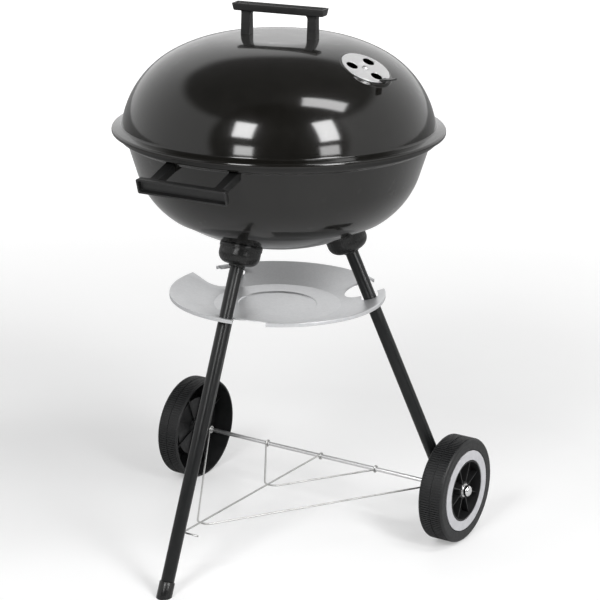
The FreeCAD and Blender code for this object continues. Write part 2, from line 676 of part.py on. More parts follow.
def make_socket(side, azimuth):
    """A moulded half ball between the bowl and a leg, bored for the tube."""
    place = leg_place(azimuth)
    lip, recess, bend = 4.0, 0.8, "Dims.socket_bend"
    side_out = f"Dims.socket_radius - {recess}"
    corners = [
        ("0", "-8"), ("Dims.socket_radius", "-8"), ("Dims.socket_radius", f"{lip}"),
        (side_out, f"{lip}"), (side_out, f"Dims.socket_length - {bend}", bend, 1),
        (f"{side_out} - {bend}", "Dims.socket_length"),
        ("Dims.collar_radius", "Dims.socket_length"),
        ("Dims.collar_radius - 0.5", "Dims.socket_length + 3"), ("0", "Dims.socket_length + 3"),
    ]
    blank = turned(f"{side}_socket_blank", corners, place)
    bowl = ball(f"{side}_socket_seat", at(z=dim("bowl_crown_mid")), "Dims.bowl_crown - Dims.bowl_step + 0.1")
    bore = cylinder(f"{side}_socket_bore", place.multiply(at(z=dim("leg_start") - 0.1)),
                    "Dims.leg_radius + 0.1", "60")
    bolt = cylinder(f"{side}_socket_bolt", place.multiply(at(z=-20)), "3.2", "60")
    sub_part(cut(f"{side}_socket", blank, [bowl, bore, bolt]), f"{side}_socket")


def make_leg_fixings():
    """Each leg hangs on a bolt from inside the bowl, held by a threaded plug in the tube."""
    bolts, plugs = [], []
    bolt, head, plug_start, plug_length = 3.0, 6.5, 13.0, 18.0
    for side, azimuth in LEG_AZIMUTHS.items():
        place = leg_place(azimuth)
        shell = place.multiply(at(z=-1.8))
        corners = [
            ("0", "-4"), (f"{head - 1.5}", "-4"), (f"{head}", "-2.6"), (f"{head}", "0"),
            (f"{bolt}", "0"), (f"{bolt}", "34"), (f"{bolt - 1}", "35"), ("0", "35"),
        ]
        bolts.append(turned(f"{side}_bolt", corners, shell))
        plugs.append(tube(f"{side}_plug", place.multiply(at(z=plug_start)),
                          "Dims.leg_radius - Dims.leg_gauge - 0.03", f"{bolt} + 0.05",
                          f"{plug_length}"))
    sub_part(group("leg_bolts", bolts), "leg_bolts")
    sub_part(group("leg_plugs", plugs), "leg_plugs")


def make_cap():
    """The front leg's end cap, with its sole cut level with the floor."""
    place = leg_place(LEG_AZIMUTHS["front"])
    end = along_leg(0)
    start = end - dim("cap_length")
    corners = [
        ("0", f"{start}"), ("Dims.cap_radius - 0.8", f"{start}"), ("Dims.cap_radius", f"{start + 1}"),
        ("Dims.cap_radius", f"{end + 8}"), ("0", f"{end + 8}"),
    ]
    blank = turned("front_cap_blank", corners, place)
    below = box("front_cap_floor", at(-60, -400, -50), "120", "200", "50")
    bore = cylinder("front_cap_bore", place.multiply(at(z=start - 5)), "Dims.leg_radius + 0.05", "100")
    above = box("front_cap_sole", at(-60, -400, 3.3), "120", "200", "60")
    hollow = doc.addObject("Part::Common", "front_cap_hollow")
    hollow.Base, hollow.Tool = bore, above
    sub_part(cut("front_leg_cap", blank, [below, hollow]), "front_leg_cap")


# ---------------------------------------------------------------- the ash tray

def make_tray():
    """A dished tray with a sunken middle.

    Each leg passes a slot that a turn joins to a wide notch in the rim.
    """
    low = "(Dims.tray_up - Dims.tray_depth)"
    skin = "Dims.tray_gauge"
    rim = "Dims.tray_radius"
    disc, disc_drop = 55.0, 1.6
    corners = [
        ("0", f"{low} - {disc_drop}"), (f"{disc - 1.2}", f"{low} - {disc_drop}"),
        (f"{disc}", low), ("Dims.tray_floor", low), (f"{rim} - 2", "Dims.tray_up"),
        (rim, "Dims.tray_up"), (rim, "Dims.tray_up - 5"), (f"{rim} - {skin}", "Dims.tray_up - 5"),
        (f"{rim} - {skin}", f"Dims.tray_up - {skin}"), (f"{rim} - 1.8", f"Dims.tray_up - {skin}"),
        ("Dims.tray_floor + 0.15", f"{low} - {skin}"), (f"{disc + 0.4}", f"{low} - {skin}"),
        (f"{disc - 0.8}", f"{low} - {disc_drop} - {skin}"), ("0", f"{low} - {disc_drop} - {skin}"),
    ]
    dish = turned("tray_dish", corners)
    tools = []
    low_z, tall = dim("tray_up") - 40, "80"
    for side, azimuth in LEG_AZIMUTHS.items():
        radius = dim("slot_out")
        end = at(turn=azimuth).multiply(at(x=radius, z=low_z))
        tools.append(cylinder(f"{side}_slot_end", end, "Dims.slot_half", tall))
        outer = primitive("Part::Cylinder", f"{side}_slot_outer", at(z=low_z, turn=azimuth),
                          Radius="Dims.slot_out + Dims.slot_half", Height=tall,
                          Angle="Dims.entry_turn")
        inner = cylinder(f"{side}_slot_inner", at(z=low_z - 1), "Dims.slot_out - Dims.slot_half", "82")
        tools.append(cut(f"{side}_slot", outer, [inner]))
        entry = at(turn=azimuth + dim("entry_turn"))
        tools.append(cylinder(f"{side}_entry_end", entry.multiply(at(x=dim("entry_in"), z=low_z)),
                              "Dims.entry_half", tall))
        tools.append(box(f"{side}_entry", entry.multiply(
            at(x=dim("entry_in"), y=-dim("entry_half"), z=low_z)), "60", "2 * Dims.entry_half", tall))
    sub_part(cut("ash_tray", dish, [fuse("tray_openings", tools)]), "ash_tray")


# ---------------------------------------------------------------- axle, wheels and rack

def wheel_place(side):
    """The frame of a wheel: its origin is in its inner face and Z points outwards."""
    turn = 90 if side == "right" else -90
    x = dim("wheel_in") * (1 if side == "right" else -1)
    return Placement(Vector(x, axle_y(), dim("axle_up")), Rotation(Y_AXIS, turn))


def make_wheel(side):
    """One moulding with an open back: tread, face, sunken web, hub and thin ribs on both sides."""
    place = wheel_place(side)
    bore = "Dims.axle_radius + Dims.bore_slack"
    edge = "Dims.wheel_radius"
    wide = "Dims.wheel_width"
    inside = "Dims.wheel_radius - Dims.tread_wall"
    groove = "Dims.wheel_radius - Dims.tread_depth"
    corners = [
        (bore, "16"), ("10.5", "16"), ("12", "19"), ("43.5", "19"), ("44.5", "31.5"),
        (f"{inside} - 1", "31.5"), (inside, "0"), (f"{edge} - 1.5", "0", "1.5", 1), (edge, "1.5"),
        (edge, f"{wide} / 2 - 0.7"), (groove, f"{wide} / 2 - 0.7"), (groove, f"{wide} / 2 + 0.7"),
        (edge, f"{wide} / 2 + 0.7"), (edge, f"{wide} - 5", "5", 1), (f"{edge} - 5", wide),
        ("60", wide), ("58.2", "34.5"), ("43.8", "34.5"), ("43", wide), ("41.5", wide),
        ("40.5", "22"), ("13.5", "22"), ("12", "32"), (bore, "32"),
    ]
    blank = turned(f"{side}_wheel_blank", corners, place)
    ribs = []
    for index in range(8):
        spoke = place.multiply(at(turn=45 * index + 22.5))
        ribs.append(box(f"{side}_face_rib_{index}", spoke.multiply(at(11, -0.7, 21)), "30", "1.4", "5"))
        ribs.append(box(f"{side}_back_rib_{index}", spoke.multiply(at(10.5, -0.8, 16.5)),
                        "Dims.wheel_radius - Dims.tread_wall - 10", "1.6", "15.5"))
    ribbed = fuse(f"{side}_wheel_ribbed", [blank] + ribs)
    count = 126
    slots = []
    for index in range(count):
        corner = at(turn=index * 360 / count).multiply(at(dim("wheel_radius") - dim("tread_depth"),
                                                          -0.85, 2.5))
        slots.append(box(f"{side}_slot_{index}", place.multiply(corner),
                         "10", "1.7", "Dims.wheel_width - 5"))
    hole = cylinder(f"{side}_wheel_hole", place.multiply(at(z=-1)), bore, "60")
    sub_part(cut(f"{side}_wheel", ribbed, slots + [hole]), f"{side}_wheel")
    sub_part(tube(f"{side}_wheel_ring", place.multiply(at(z=34.55)), "57.8", "44.2", "1.7"),
             f"{side}_wheel_ring")


def make_hub_cap(side):
    """A domed push-on cap that keeps the wheel on the axle."""
    bore, outer, start = "Dims.axle_radius + 0.02", "8", "33.4"
    corners = [
        (bore, start), (outer, start), (outer, "37.5", "4.5", 1), ("3.5", "42"), ("0", "42"),
        ("0", "39.8"), (bore, "39.8"),
    ]
    sub_part(turned(f"{side}_hub_cap", corners, wheel_place(side)), f"{side}_hub_cap")


def make_axle():
    place = at(-dim("axle_reach"), axle_y(), dim("axle_up"), Y_AXIS, 90)
    sub_part(cylinder("axle", place, "Dims.axle_radius", "2 * Dims.axle_reach"), "axle")
    washers = [tube(f"washer_{side}", wheel_place(side).multiply(at(z=32.15)), "9.5",
                    "Dims.axle_radius + 0.1", "1") for side in ("right", "left")]
    sub_part(group("axle_washers", washers), "axle_washers")


def axle_loop(name, x):
    """A closed eye of wire round the axle."""
    return primitive("Part::Torus", name, at(x, axle_y(), dim("axle_up"), Y_AXIS, 90),
                     Radius1="Dims.axle_radius + Dims.rack_wire + 0.15", Radius2="Dims.rack_wire")


def make_brace(name, half_width, vertex_y):
    """A V of wire from two eyes on the axle to a rounded point behind the front leg."""
    eye = dim("axle_radius") + dim("rack_wire") + 0.15
    up, bend = dim("axle_up"), 14.0
    start_y = axle_y() - eye
    route = [(Vector(-half_width, start_y, up), 0), (Vector(0, vertex_y, up), bend),
             (Vector(half_width, start_y, up), 0)]
    wire = sweep_round(f"{name}_wire", route, dim("rack_wire"))
    eyes = [axle_loop(f"{name}_eye_{side + 2}", side * half_width) for side in (-1, 1)]
    sub_part(fuse(name, [wire] + eyes), name)


def make_rack():
    """Wires in a level plane that tie the axle to the front leg."""
    make_brace("rack_outer_brace", 195.0, -196.0)
    make_brace("rack_inner_brace", 93.0, -29.0)
    up = dim("axle_up") + dim("spine_rise")
    eye = dim("axle_radius") + dim("rack_wire") + 0.15
    start = axle_y() - math.sqrt(eye ** 2 - dim("spine_rise") ** 2)
    end = -leg_out(up) - 2
    spine = cylinder("rack_spine_wire", at(0, end, up, X_AXIS, -90), "Dims.rack_wire",
                     f"{start - end}")
    sub_part(fuse("rack_spine", [spine, axle_loop("rack_spine_eye", 0)]), "rack_spine")
    sub_part(cylinder("rack_cross_wire", at(-21, -223, dim("axle_up"), Y_AXIS, 90),
                      "Dims.rack_wire", "42"), "rack_cross_wire")


def make_all():
    make_lid()
    make_lid_handle()
    make_lid_damper()
    make_bowl()
    make_bowl_handle()
    make_bowl_damper()
    make_brackets()
    make_grate("cooking_grate", dim("grate_up"), "Dims.grate_ring", "Dims.grate_wire",
               "Dims.grate_bar", 15.0, 95.0)
    make_grate("charcoal_grate", dim("coal_up"), "Dims.coal_ring", "Dims.grate_wire",
               "Dims.coal_bar", 24.0, 75.0)
    for side, azimuth in LEG_AZIMUTHS.items():
        make_socket(side, azimuth)
        make_leg(side, azimuth)
    make_leg_fixings()
    make_cap()
    make_tray()
    make_axle()
    for side in ("right", "left"):
        make_wheel(side)
        make_hub_cap(side)
    make_rack()


def check():
    """Stops when an object failed to build or a sub-part isn't valid closed solids."""
    for item in doc.Objects:
        if "Invalid" in item.State or "Error" in item.State:
            raise RuntimeError(f"{item.Name} failed: {item.State}")
    for item in pieces:
        shape = item.Shape
        if shape.isNull() or not shape.isValid() or not shape.Solids:
            raise RuntimeError(f"{item.Label} isn't a valid solid")
        print(f"{item.Label}: {len(shape.Solids)} solid(s), {shape.Volume / 1000:.2f} cm3")


make_all()
doc.recompute()
check()
os.makedirs("parts", exist_ok=True)
for item in pieces:
    item.Shape.exportStep(f"parts/{item.Label}.step")
print(len(pieces), "sub-parts written")
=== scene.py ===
"""Kettle charcoal grill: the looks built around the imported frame.

Metres, +Z up, origin on the floor under the kettle's axis, as in the frame.
"""
import json
import math

import bmesh
import bpy
from mathutils import Matrix, Vector


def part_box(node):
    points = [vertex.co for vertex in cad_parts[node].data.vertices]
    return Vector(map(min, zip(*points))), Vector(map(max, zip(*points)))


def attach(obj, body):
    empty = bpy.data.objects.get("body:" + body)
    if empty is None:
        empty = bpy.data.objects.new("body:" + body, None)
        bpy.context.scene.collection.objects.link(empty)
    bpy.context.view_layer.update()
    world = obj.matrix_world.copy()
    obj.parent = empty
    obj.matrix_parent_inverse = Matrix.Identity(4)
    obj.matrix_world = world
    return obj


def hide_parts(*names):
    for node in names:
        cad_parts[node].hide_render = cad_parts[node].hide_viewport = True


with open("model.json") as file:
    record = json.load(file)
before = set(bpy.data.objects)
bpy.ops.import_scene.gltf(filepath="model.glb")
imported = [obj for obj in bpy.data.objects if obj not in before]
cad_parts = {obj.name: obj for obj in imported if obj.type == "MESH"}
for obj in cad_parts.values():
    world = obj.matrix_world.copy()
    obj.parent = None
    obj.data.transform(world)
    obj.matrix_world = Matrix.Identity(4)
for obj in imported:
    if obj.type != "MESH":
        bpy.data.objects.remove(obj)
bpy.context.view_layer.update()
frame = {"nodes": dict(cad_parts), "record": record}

MM = 0.001

# The lid's sheet. Each arc of the dome has its outside radius and the slope at its lower end.
GAUGE = 1.2 * MM
LID_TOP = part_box("lid_shell")[1].z
LID_SKIRT_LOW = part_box("lid_shell")[0].z
LID_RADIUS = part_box("lid_shell")[1].x
LID_FLANGE = LID_SKIRT_LOW + 5.5 * MM
LID_ARCS = ((3144.0 * MM, 1.0), (198.0 * MM, 28.9), (129.5 * MM, 81.5))
FLANGE_BEND, FLANGE_FALL = 3.5 * MM, 0.3 * MM
CREASE_BEND = 3.0 * MM
SKIRT_EDGE_BEND = 0.5 * MM

# The flat seat pressed into the lid for the vent's disc. Its middle lies where the dome slopes
# by SEAT_SLOPE, and its own slope is SEAT_TILT.
SEAT_SLOPE, SEAT_TILT, SEAT_AZIMUTH = 28.0, 25.8, -6.0
SEAT_SINK, SEAT_DEPTH = 1.6 * MM, 15 * MM
SEAT_INNER, SEAT_OUTER = 35.0 * MM, 38.0 * MM
SEAT_GRID_REACH, SEAT_GRID_STEP, LID_REST_COLUMNS = 20.0, 0.3, 230

# The holes of both vents: three in a circle and the rivet's in the middle, given by radius.
VENT_RADIUS, VENT_CIRCLE, VENT_START = 8.0 * MM, 20.0 * MM, -1.0
RIVET_HOLE = 2.58 * MM
DRILL_REACH, DRILL_SIDES = 5 * MM, 48

# The bowl's sheet: a flat seat, an underside, a step, a knuckle, a wall, a rim band and a roll.
# Turns and starts are slopes in degrees.
BOWL_CROWN, BOWL_CROWN_MID = 266.1 * MM, 693.8 * MM
BOWL_STEP_TURN, STEP_BEND = 32.9, 0.9 * MM
BOWL_KNUCKLE = 112.8 * MM
KNUCKLE_OUT, KNUCKLE_UP, KNUCKLE_START = 84.3 * MM, 563.6 * MM, 35.0
WALL_TURN, WALL_TOP = 72.7, 574.0 * MM
RIM_RADIUS, RIM_LOW, RIM_INNER_RISE = 216.0 * MM, 578.5 * MM, 0.5 * MM
WALL_TOP_BEND, RIM_LOW_BEND = 4 * MM, 3 * MM
INNER_WALL_TOP_BEND, INNER_RIM_LOW_BEND = 3 * MM, 2 * MM
RIM_ROLL, RIM_ROLL_UP = 2.2 * MM, 590.0 * MM
FLAT_RADIUS, FLAT_INNER_SHARE = 39.0 * MM, 0.6
BOWL_COLUMNS = 300

# How far apart the points lie along the arcs, and the number of steps round a handle's corner.
LID_OUTER_STEP, LID_INNER_STEP = 0.9 * MM, 1.6 * MM
BOWL_OUTER_STEP, BOWL_INNER_STEP = 1.2 * MM, 2.0 * MM
SMALL_STEP, BEND_STEP = 0.3 * MM, 0.4 * MM
CORNER_STEPS = 6

# The handles: a dished bar on two posts that taper from their feet, with a screw hole in each.
BAR_LENGTH, BAR_WIDTH, BAR_HEIGHT, BAR_WALL = 133.0 * MM, 21.0 * MM, 10.0 * MM, 2.6 * MM
BAR_FLARE, BAR_DISH = 1.5 * MM, 7.0 * MM
BAR_BEND, BAR_UNDER, BAR_LIP, BAR_FULL_UP = 2.4 * MM, 1.6 * MM, 0.7 * MM, 5.5 * MM
POST_GAP, POST_WIDTH, POST_DEPTH = 96.0 * MM, 13.2 * MM, 11.0 * MM
POST_BEND, POST_FLARE, POST_FLARE_HEIGHT, POST_IN_BAR = 1.2 * MM, 4.0 * MM, 5.0 * MM, 1.2 * MM
FOOT_WIDTH, FOOT_DEPTH, FOOT_UP = 14.0 * MM, 11.8 * MM, 1.2 * MM
FOOT_REACH, FOOT_GAP = (-15 * MM, 4 * MM), 0.05 * MM
SCREW_HOLE, SCREW_DEPTH = 2.55 * MM, 18.0 * MM
LID_POST, LID_HANDLE_TURN = 31.0 * MM, 9.5
BOWL_POST, BOWL_HANDLE_AZIMUTH, BOWL_HANDLE_UP = 40.0 * MM, -86.5, 567.5 * MM


# ---------------------------------------------------------------- materials

def new_node(tree, kind, **settings):
    item = tree.nodes.new(kind)
    for name, setting in settings.items():
        setattr(item, name, setting)
    return item


def map_range(tree, source, start, end, low, high, **settings):
    """Maps source's range from start to end onto low to high."""
    item = new_node(tree, "ShaderNodeMapRange", **settings)
    for socket, number in (("From Min", start), ("From Max", end),
                           ("To Min", low), ("To Max", high)):
        item.inputs[socket].default_value = number
    tree.links.new(source, item.inputs["Value"])
    return item.outputs["Result"]


class Finish:
    """A procedural material: a Principled shader and the nodes that feed it."""

    def __init__(self, name, **sockets):
        self.material = bpy.data.materials.new(name)
        self.material.use_nodes = True
        self.tree = self.material.node_tree
        self.shader = self.tree.nodes["Principled BSDF"]
        for socket, number in sockets.items():
            self.shader.inputs[socket.replace("_", " ")].default_value = number
        self.place = self.tree.nodes.new("ShaderNodeTexCoord").outputs["Object"]

    def node(self, kind, **settings):
        return new_node(self.tree, kind, **settings)

    def link(self, source, target):
        self.tree.links.new(source, target)

    def stretched(self, factors):
        """Object coordinates in metres, scaled along each axis."""
        mapping = self.node("ShaderNodeMapping")
        mapping.inputs["Scale"].default_value = factors
        self.link(self.place, mapping.inputs["Vector"])
        return mapping.outputs["Vector"]

    def noise(self, scale, detail=3.0, roughness=0.55, vector=None):
        item = self.node("ShaderNodeTexNoise")
        item.inputs["Scale"].default_value = scale
        item.inputs["Detail"].default_value = detail
        item.inputs["Roughness"].default_value = roughness
        self.link(vector or self.place, item.inputs["Vector"])
        return item.outputs["Fac"]

    def cell_tones(self, scale):
        """A random grey for each cell."""
        item = self.node("ShaderNodeTexVoronoi")
        item.inputs["Scale"].default_value = scale
        self.link(self.place, item.inputs["Vector"])
        tone = self.node("ShaderNodeRGBToBW")
        self.link(item.outputs["Color"], tone.inputs["Color"])
        return tone.outputs["Val"]

    def vary_color(self, source, dark, light, start=0.3, end=0.7):
        """Runs the base colour from dark to light over the texture's range."""
        ramp = self.node("ShaderNodeValToRGB")
        ramp.color_ramp.elements[0].position = start
        ramp.color_ramp.elements[1].position = end
        ramp.color_ramp.elements[0].color = (*dark, 1)
        ramp.color_ramp.elements[1].color = (*light, 1)
        self.link(source, ramp.inputs["Fac"])
        self.link(ramp.outputs["Color"], self.shader.inputs["Base Color"])

    def vary_roughness(self, source, low, high):
        """Runs the roughness from low to high over the middle of the texture's range."""
        self.link(map_range(self.tree, source, 0.3, 0.7, low, high),
                  self.shader.inputs["Roughness"])

    def bump(self, source, depth, strength, under=None):
        """Bumps the surface by depth metres; under is a bump that lies below this one."""
        item = self.node("ShaderNodeBump")
        item.inputs["Distance"].default_value = depth
        item.inputs["Strength"].default_value = strength
        self.link(source, item.inputs["Height"])
        if under:
            self.link(under, item.inputs["Normal"])
        self.link(item.outputs["Normal"], self.shader.inputs["Normal"])
        return item.outputs["Normal"]


def enamel():
    """Glossy vitreous enamel, black with a warm cast, slightly wavy like all enamelled sheet."""
    paint = Finish("black_enamel", IOR=1.45, Specular_IOR_Level=0.05, Coat_Weight=1.0,
                   Coat_Roughness=0.10, Coat_IOR=1.47)
    mottle = paint.noise(38.0, detail=4.0)
    paint.vary_color(mottle, (0.0044, 0.0041, 0.0034), (0.0060, 0.0056, 0.0047))
    paint.vary_roughness(paint.noise(55.0, detail=5.0), 0.26, 0.38)
    wave = paint.bump(paint.noise(26.0, detail=1.0), 0.08 * MM, 0.4)
    paint.bump(paint.noise(900.0, detail=2.0), 0.004 * MM, 0.4, wave)
    return paint.material


def moulded(name, dark, light, rough, grain=900.0, depth=0.008 * MM, gloss=0.5):
    """Moulded plastic with a fine grain and slightly uneven gloss."""
    paint = Finish(name, IOR=1.5, Specular_IOR_Level=gloss)
    paint.vary_color(paint.noise(120.0, detail=5.0), dark, light)
    paint.vary_roughness(paint.noise(300.0, detail=4.0), rough - 0.06, rough + 0.08)
    swell = paint.bump(paint.noise(60.0, detail=1.0), 0.10 * MM, 0.2)
    paint.bump(paint.noise(grain, detail=3.0), depth, 0.4, swell)
    return paint.material


def leg_paint():
    """Semi-gloss black powder paint with its faint orange peel."""
    paint = Finish("leg_paint", IOR=1.5, Specular_IOR_Level=0.28)
    paint.vary_color(paint.noise(90.0, detail=4.0), (0.0060, 0.0064, 0.0066),
                     (0.0085, 0.0090, 0.0092))
    paint.vary_roughness(paint.noise(70.0, detail=2.0), 0.30, 0.36)
    paint.bump(paint.noise(60.0, detail=1.0), 0.01 * MM, 0.3)
    return paint.material


def brushed(name, dark, light, rough, grain):
    """Sheet metal brushed along one direction; grain is the scale along each axis."""
    paint = Finish(name, Metallic=1.0)
    lines = paint.noise(1.0, detail=4.0, roughness=0.7, vector=paint.stretched(grain))
    paint.vary_color(lines, dark, light)
    paint.vary_roughness(lines, rough - 0.07, rough + 0.09)
    wave = paint.bump(paint.noise(45.0, detail=1.0), 0.06 * MM, 0.4)
    paint.bump(lines, 0.012 * MM, 0.6, wave)
    return paint.material


def zinc_sheet():
    """Galvanised sheet: very fine crystals of zinc, soft rolling marks and a satin gloss."""
    paint = Finish("zinc_sheet", Metallic=0.75)
    paint.vary_color(paint.cell_tones(420.0), (0.64, 0.645, 0.655), (0.68, 0.685, 0.695),
                     0.1, 0.9)
    paint.vary_roughness(paint.noise(140.0, detail=5.0), 0.34, 0.44)
    wave = paint.bump(paint.noise(22.0, detail=1.0), 0.12 * MM, 0.3)
    paint.bump(paint.noise(700.0, detail=3.0), 0.006 * MM, 0.4, wave)
    return paint.material


def plated(name, dark, light, rough):
    """Plated wire, rod and fixings: bright metal with a slightly cloudy plating."""
    paint = Finish(name, Metallic=1.0)
    paint.vary_color(paint.noise(220.0, detail=5.0), dark, light)
    paint.vary_roughness(paint.noise(420.0, detail=4.0), rough - 0.06, rough + 0.10)
    paint.bump(paint.noise(900.0, detail=2.0), 0.006 * MM, 0.4)
    return paint.material


MATERIALS = {
    "black_enamel": enamel(),
    "handle_plastic": moulded("handle_plastic", (0.0065, 0.0065, 0.0065), (0.010, 0.010, 0.010),
                              0.36),
    "socket_plastic": moulded("socket_plastic", (0.0055, 0.0055, 0.0054), (0.0085, 0.0085, 0.0083),
                              0.30, 800.0, 0.006 * MM, 0.4),
    "leg_paint": leg_paint(),
    "damper_aluminium": brushed("damper_aluminium", (0.78, 0.78, 0.78), (0.90, 0.90, 0.90), 0.36,
                                (1500.0, 30.0, 1500.0)),
    "tab_plastic": moulded("tab_plastic", (0.010, 0.010, 0.010), (0.015, 0.015, 0.015), 0.34),
    "rivet_aluminium": plated("rivet_aluminium", (0.62, 0.62, 0.62), (0.76, 0.76, 0.76), 0.30),
    "zinc_sheet": zinc_sheet(),
    "zinc_wire": plated("zinc_wire", (0.50, 0.50, 0.49), (0.60, 0.60, 0.59), 0.36),
    "axle_steel": plated("axle_steel", (0.74, 0.74, 0.74), (0.86, 0.86, 0.86), 0.34),
    "screw_steel": plated("screw_steel", (0.50, 0.50, 0.50), (0.64, 0.64, 0.63), 0.32),
    "grate_chrome": plated("grate_chrome", (0.60, 0.60, 0.60), (0.74, 0.74, 0.74), 0.22),
    "cap_chrome": plated("cap_chrome", (0.70, 0.70, 0.70), (0.82, 0.82, 0.82), 0.12),
    "wheel_plastic": moulded("wheel_plastic", (0.0085, 0.0088, 0.0092), (0.0130, 0.0134, 0.0140),
                             0.46, 900.0, 0.010 * MM, 0.4),
    "ring_plastic": moulded("ring_plastic", (0.46, 0.46, 0.48), (0.54, 0.54, 0.56), 0.42),
}


# ---------------------------------------------------------------- shapes

def add_object(name, mesh, material, sharp_angle=35.0):
    """A new object with smooth faces, and sharp edges where faces turn by more than the angle."""
    item = bpy.data.objects.new(name, mesh)
    bpy.context.scene.collection.objects.link(item)
    mesh.materials.clear()
    mesh.materials.append(MATERIALS[material])
    mesh.shade_smooth()
    mesh.set_sharp_from_angle(angle=math.radians(sharp_angle))
    return item


def closed_mesh(name, vertices, faces):
    """A mesh with its faces turned outwards."""
    mesh = bpy.data.meshes.new(name)
    mesh.from_pydata(vertices, [], faces)
    work = bmesh.new()
    work.from_mesh(mesh)
    bmesh.ops.recalc_face_normals(work, faces=work.faces)
    work.to_mesh(mesh)
    work.free()
    return mesh


def even_columns(count):
    """Directions in radians, evenly spaced round the axis."""
    return [2 * math.pi * index / count for index in range(count)]


def turned(outline, columns):
    """Vertices and faces of a closed outline of (radius, height) turned about Z."""
    vertices, rows = [], []
    for radius, height in outline:
        first = len(vertices)
        if radius < 1e-7:
            rows.append([first] * len(columns))
            vertices.append((0.0, 0.0, height))
        else:
            rows.append(list(range(first, first + len(columns))))
            vertices += [(radius * math.cos(a), radius * math.sin(a), height) for a in columns]
    faces = []
    for row, following in zip(rows, rows[1:] + rows[:1]):
        for index in range(len(columns)):
            beside = (index + 1) % len(columns)
            corners = (row[index], row[beside], following[beside], following[index])
            face = list(dict.fromkeys(corners))
            if len(face) > 2:
                faces.append(face)
    return vertices, faces


def arc(centre, radius, start, end, step):
    """Points of a round stretch, with angles in degrees from +X and steps of about that length."""
    count = max(2, math.ceil(abs(math.radians(end - start)) * radius / step))
    angles = [math.radians(start + (end - start) * index / count) for index in range(count + 1)]
    return [(centre[0] + radius * math.cos(a), centre[1] + radius * math.sin(a)) for a in angles]


def rounded(corners):
    """A run of (across, up, bend) corners in which each bend becomes a tangent arc."""
    points = [corners[0][:2]]
    for before, corner, after in zip(corners, corners[1:], corners[2:]):
        here = Vector(corner[:2])
        if not corner[2]:
            points.append(tuple(here))
            continue
        back, on = (Vector(before[:2]) - here).normalized(), (Vector(after[:2]) - here).normalized()
        half = back.angle(on) / 2
        centre = here + (back + on).normalized() * corner[2] / math.sin(half)
        start = here + back * corner[2] / math.tan(half)
        end = here + on * corner[2] / math.tan(half)
        first = math.degrees(math.atan2(start.y - centre.y, start.x - centre.x))
        last = math.degrees(math.atan2(end.y - centre.y, end.x - centre.x))
        while last - first > 180:
            last -= 360
        while last - first < -180:
            last += 360
        points += arc(centre, corner[2], first, last, BEND_STEP)
    points.append(corners[-1][:2])
    return points


def drilled(item, tools):
    """Cuts the tools' solids out of item."""
    for tool in tools:
        cutter = item.modifiers.new("drill", "BOOLEAN")
        cutter.object = tool
        cutter.solver = "EXACT"
    settle(item, tools)


def settle(item, used):
    """Applies item's modifiers to its mesh and removes the helper objects that they used."""
    graph = bpy.context.evaluated_depsgraph_get()
    mesh = bpy.data.meshes.new_from_object(item.evaluated_get(graph))
    item.modifiers.clear()
    item.data = mesh
    for helper in used:
        bpy.data.objects.remove(helper)


def drill(place, radius, low, high):
    """A cylinder along place's Z, from low to high, for cutting."""
    outline = [(0.0, low), (radius, low), (radius, high), (0.0, high)]
    vertices, faces = turned(outline, even_columns(DRILL_SIDES))
    mesh = closed_mesh("drill", [place @ Vector(vertex) for vertex in vertices], faces)
    item = bpy.data.objects.new("drill", mesh)
    bpy.context.scene.collection.objects.link(item)
    return item


def turn_about(axis, degrees):
    return Matrix.Rotation(math.radians(degrees), 4, axis)


# ---------------------------------------------------------------- the lid

def lid_arcs(inset, step):
    """The dome from its top to the crease, moved in by inset, and the centre of its last arc."""
    height = LID_TOP - inset
    across, last = 0.0, 0.0
    points = [(0.0, height)]
    for radius, turn in LID_ARCS:
        size = radius - inset
        centre = (across - size * math.sin(math.radians(last)),
                  height - size * math.cos(math.radians(last)))
        points += arc(centre, size, 90 - last, 90 - turn, step)[1:]
        across, height = points[-1]
        last = turn
    return points, centre


def crease_fillet(side_centre, side_radius, bend, crease, flange_edge):
    """The hollow bend between the lid's side and its flange."""
    along = (Vector(flange_edge) - Vector(crease)).normalized()
    lifted = Vector(crease) + Vector((-along.y, along.x)) * bend
    offset = lifted - Vector(side_centre)
    reach = side_radius + bend
    back = offset.dot(along)
    travel = -back + math.sqrt(back ** 2 - offset.length_squared + reach ** 2)
    centre = lifted + along * travel
    first = math.degrees(math.atan2(side_centre[1] - centre.y, side_centre[0] - centre.x))
    last = math.degrees(math.atan2(-along.x, along.y))
    while first > last:
        first -= 360
    return arc(centre, bend, first, last, SMALL_STEP)


def lid_outline():
    """The outline of the lid's sheet: its outside with the skirt, and its inside back to the top."""
    outer, side_centre = lid_arcs(0.0, LID_OUTER_STEP)
    inner, _ = lid_arcs(GAUGE, LID_INNER_STEP)
    flange_edge = (LID_RADIUS - FLANGE_BEND, LID_FLANGE)
    bend = crease_fillet(side_centre, LID_ARCS[2][0], CREASE_BEND, outer[-1], flange_edge)
    outer = [point for point in outer if point[1] > bend[0][1]]
    inside = LID_RADIUS - GAUGE
    skirt = rounded([
        (*bend[-1], 0), (LID_RADIUS, LID_FLANGE - FLANGE_FALL, FLANGE_BEND),
        (LID_RADIUS, LID_SKIRT_LOW, SKIRT_EDGE_BEND), (inside, LID_SKIRT_LOW, SKIRT_EDGE_BEND),
        (inside, LID_FLANGE - GAUGE - FLANGE_FALL, FLANGE_BEND - GAUGE),
        (*inner[-1], 0),
    ])
    return outer + bend + skirt[1:-1], inner[::-1]


